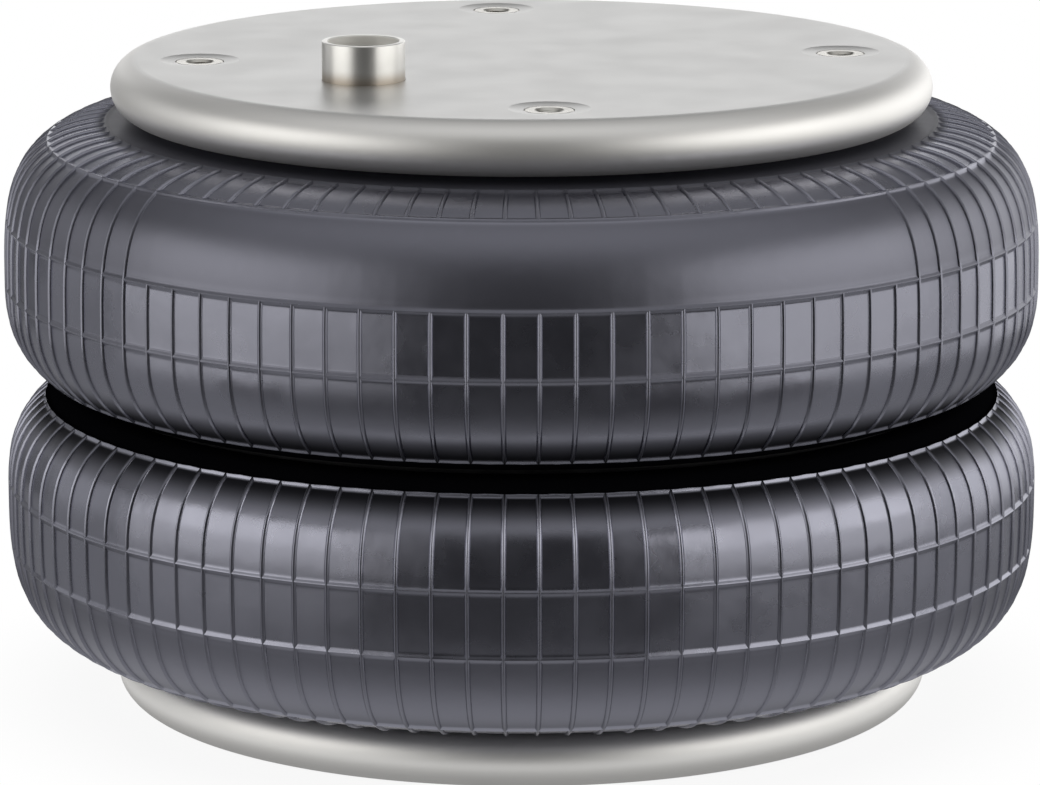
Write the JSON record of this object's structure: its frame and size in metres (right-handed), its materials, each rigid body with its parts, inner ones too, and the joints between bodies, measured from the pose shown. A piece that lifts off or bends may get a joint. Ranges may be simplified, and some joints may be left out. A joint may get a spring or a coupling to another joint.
{
  "type": "air bellows actuator",
  "caption": "Convoluted rubber air bellows crimped between round steel bead plates, with blind nuts and an offset air inlet; it lengthens and shortens with air pressure.",
  "frame": {"origin": "centre of the bottom bead plate's mounting face, which the part stands on", "axes": "+Z along the bellows axis towards the plate with the air inlet; the blind nuts lie on +X, +Y, -X and -Y"},
  "size_m": [0.361, 0.361, 0.2393],
  "materials": {
    "bead_plate_steel": "satin zinc-nickel plated sheet steel",
    "nut_steel": "plated, machined face",
    "inlet_steel": "bright turned",
    "bead_wire": "drawn wire",
    "hoop_steel": "black coated ring",
    "bellows_rubber": "moulded, satin, with raised ribs"
  },
  "bodies": {
    "base": {"lower_bead_plate": "bead_plate_steel", "lower_blind_nut_1": "nut_steel", "lower_blind_nut_2": "nut_steel", "lower_blind_nut_3": "nut_steel", "lower_blind_nut_4": "nut_steel", "lower_bead_core": "bead_wire", "lower_convolution": "bellows_rubber"},
    "waist": {"girdle_hoop": "hoop_steel"},
    "top": {"upper_bead_plate": "bead_plate_steel", "upper_blind_nut_1": "nut_steel", "upper_blind_nut_2": "nut_steel", "upper_blind_nut_3": "nut_steel", "upper_blind_nut_4": "nut_steel", "air_inlet": "inlet_steel", "upper_bead_core": "bead_wire", "upper_convolution": "bellows_rubber"}
  },
  "joints": [
    {"name": "lower_convolution_stroke", "type": "slide", "parent": "base", "child": "waist", "axis": [0, 0, 1], "range_m": [-0.063, 0.037], "stiffness_N_per_m": 4800, "springref_m": 0.008, "deforming": ["lower_convolution"]},
    {"name": "upper_convolution_stroke", "type": "slide", "parent": "waist", "child": "top", "axis": [0, 0, 1], "range_m": [-0.063, 0.037], "stiffness_N_per_m": 4800, "springref_m": 0.0071, "deforming": ["upper_convolution"]}
  ],
  "couplings": [
    {"joint": "upper_convolution_stroke", "follows": "lower_convolution_stroke", "ratio": 1}
  ]
}
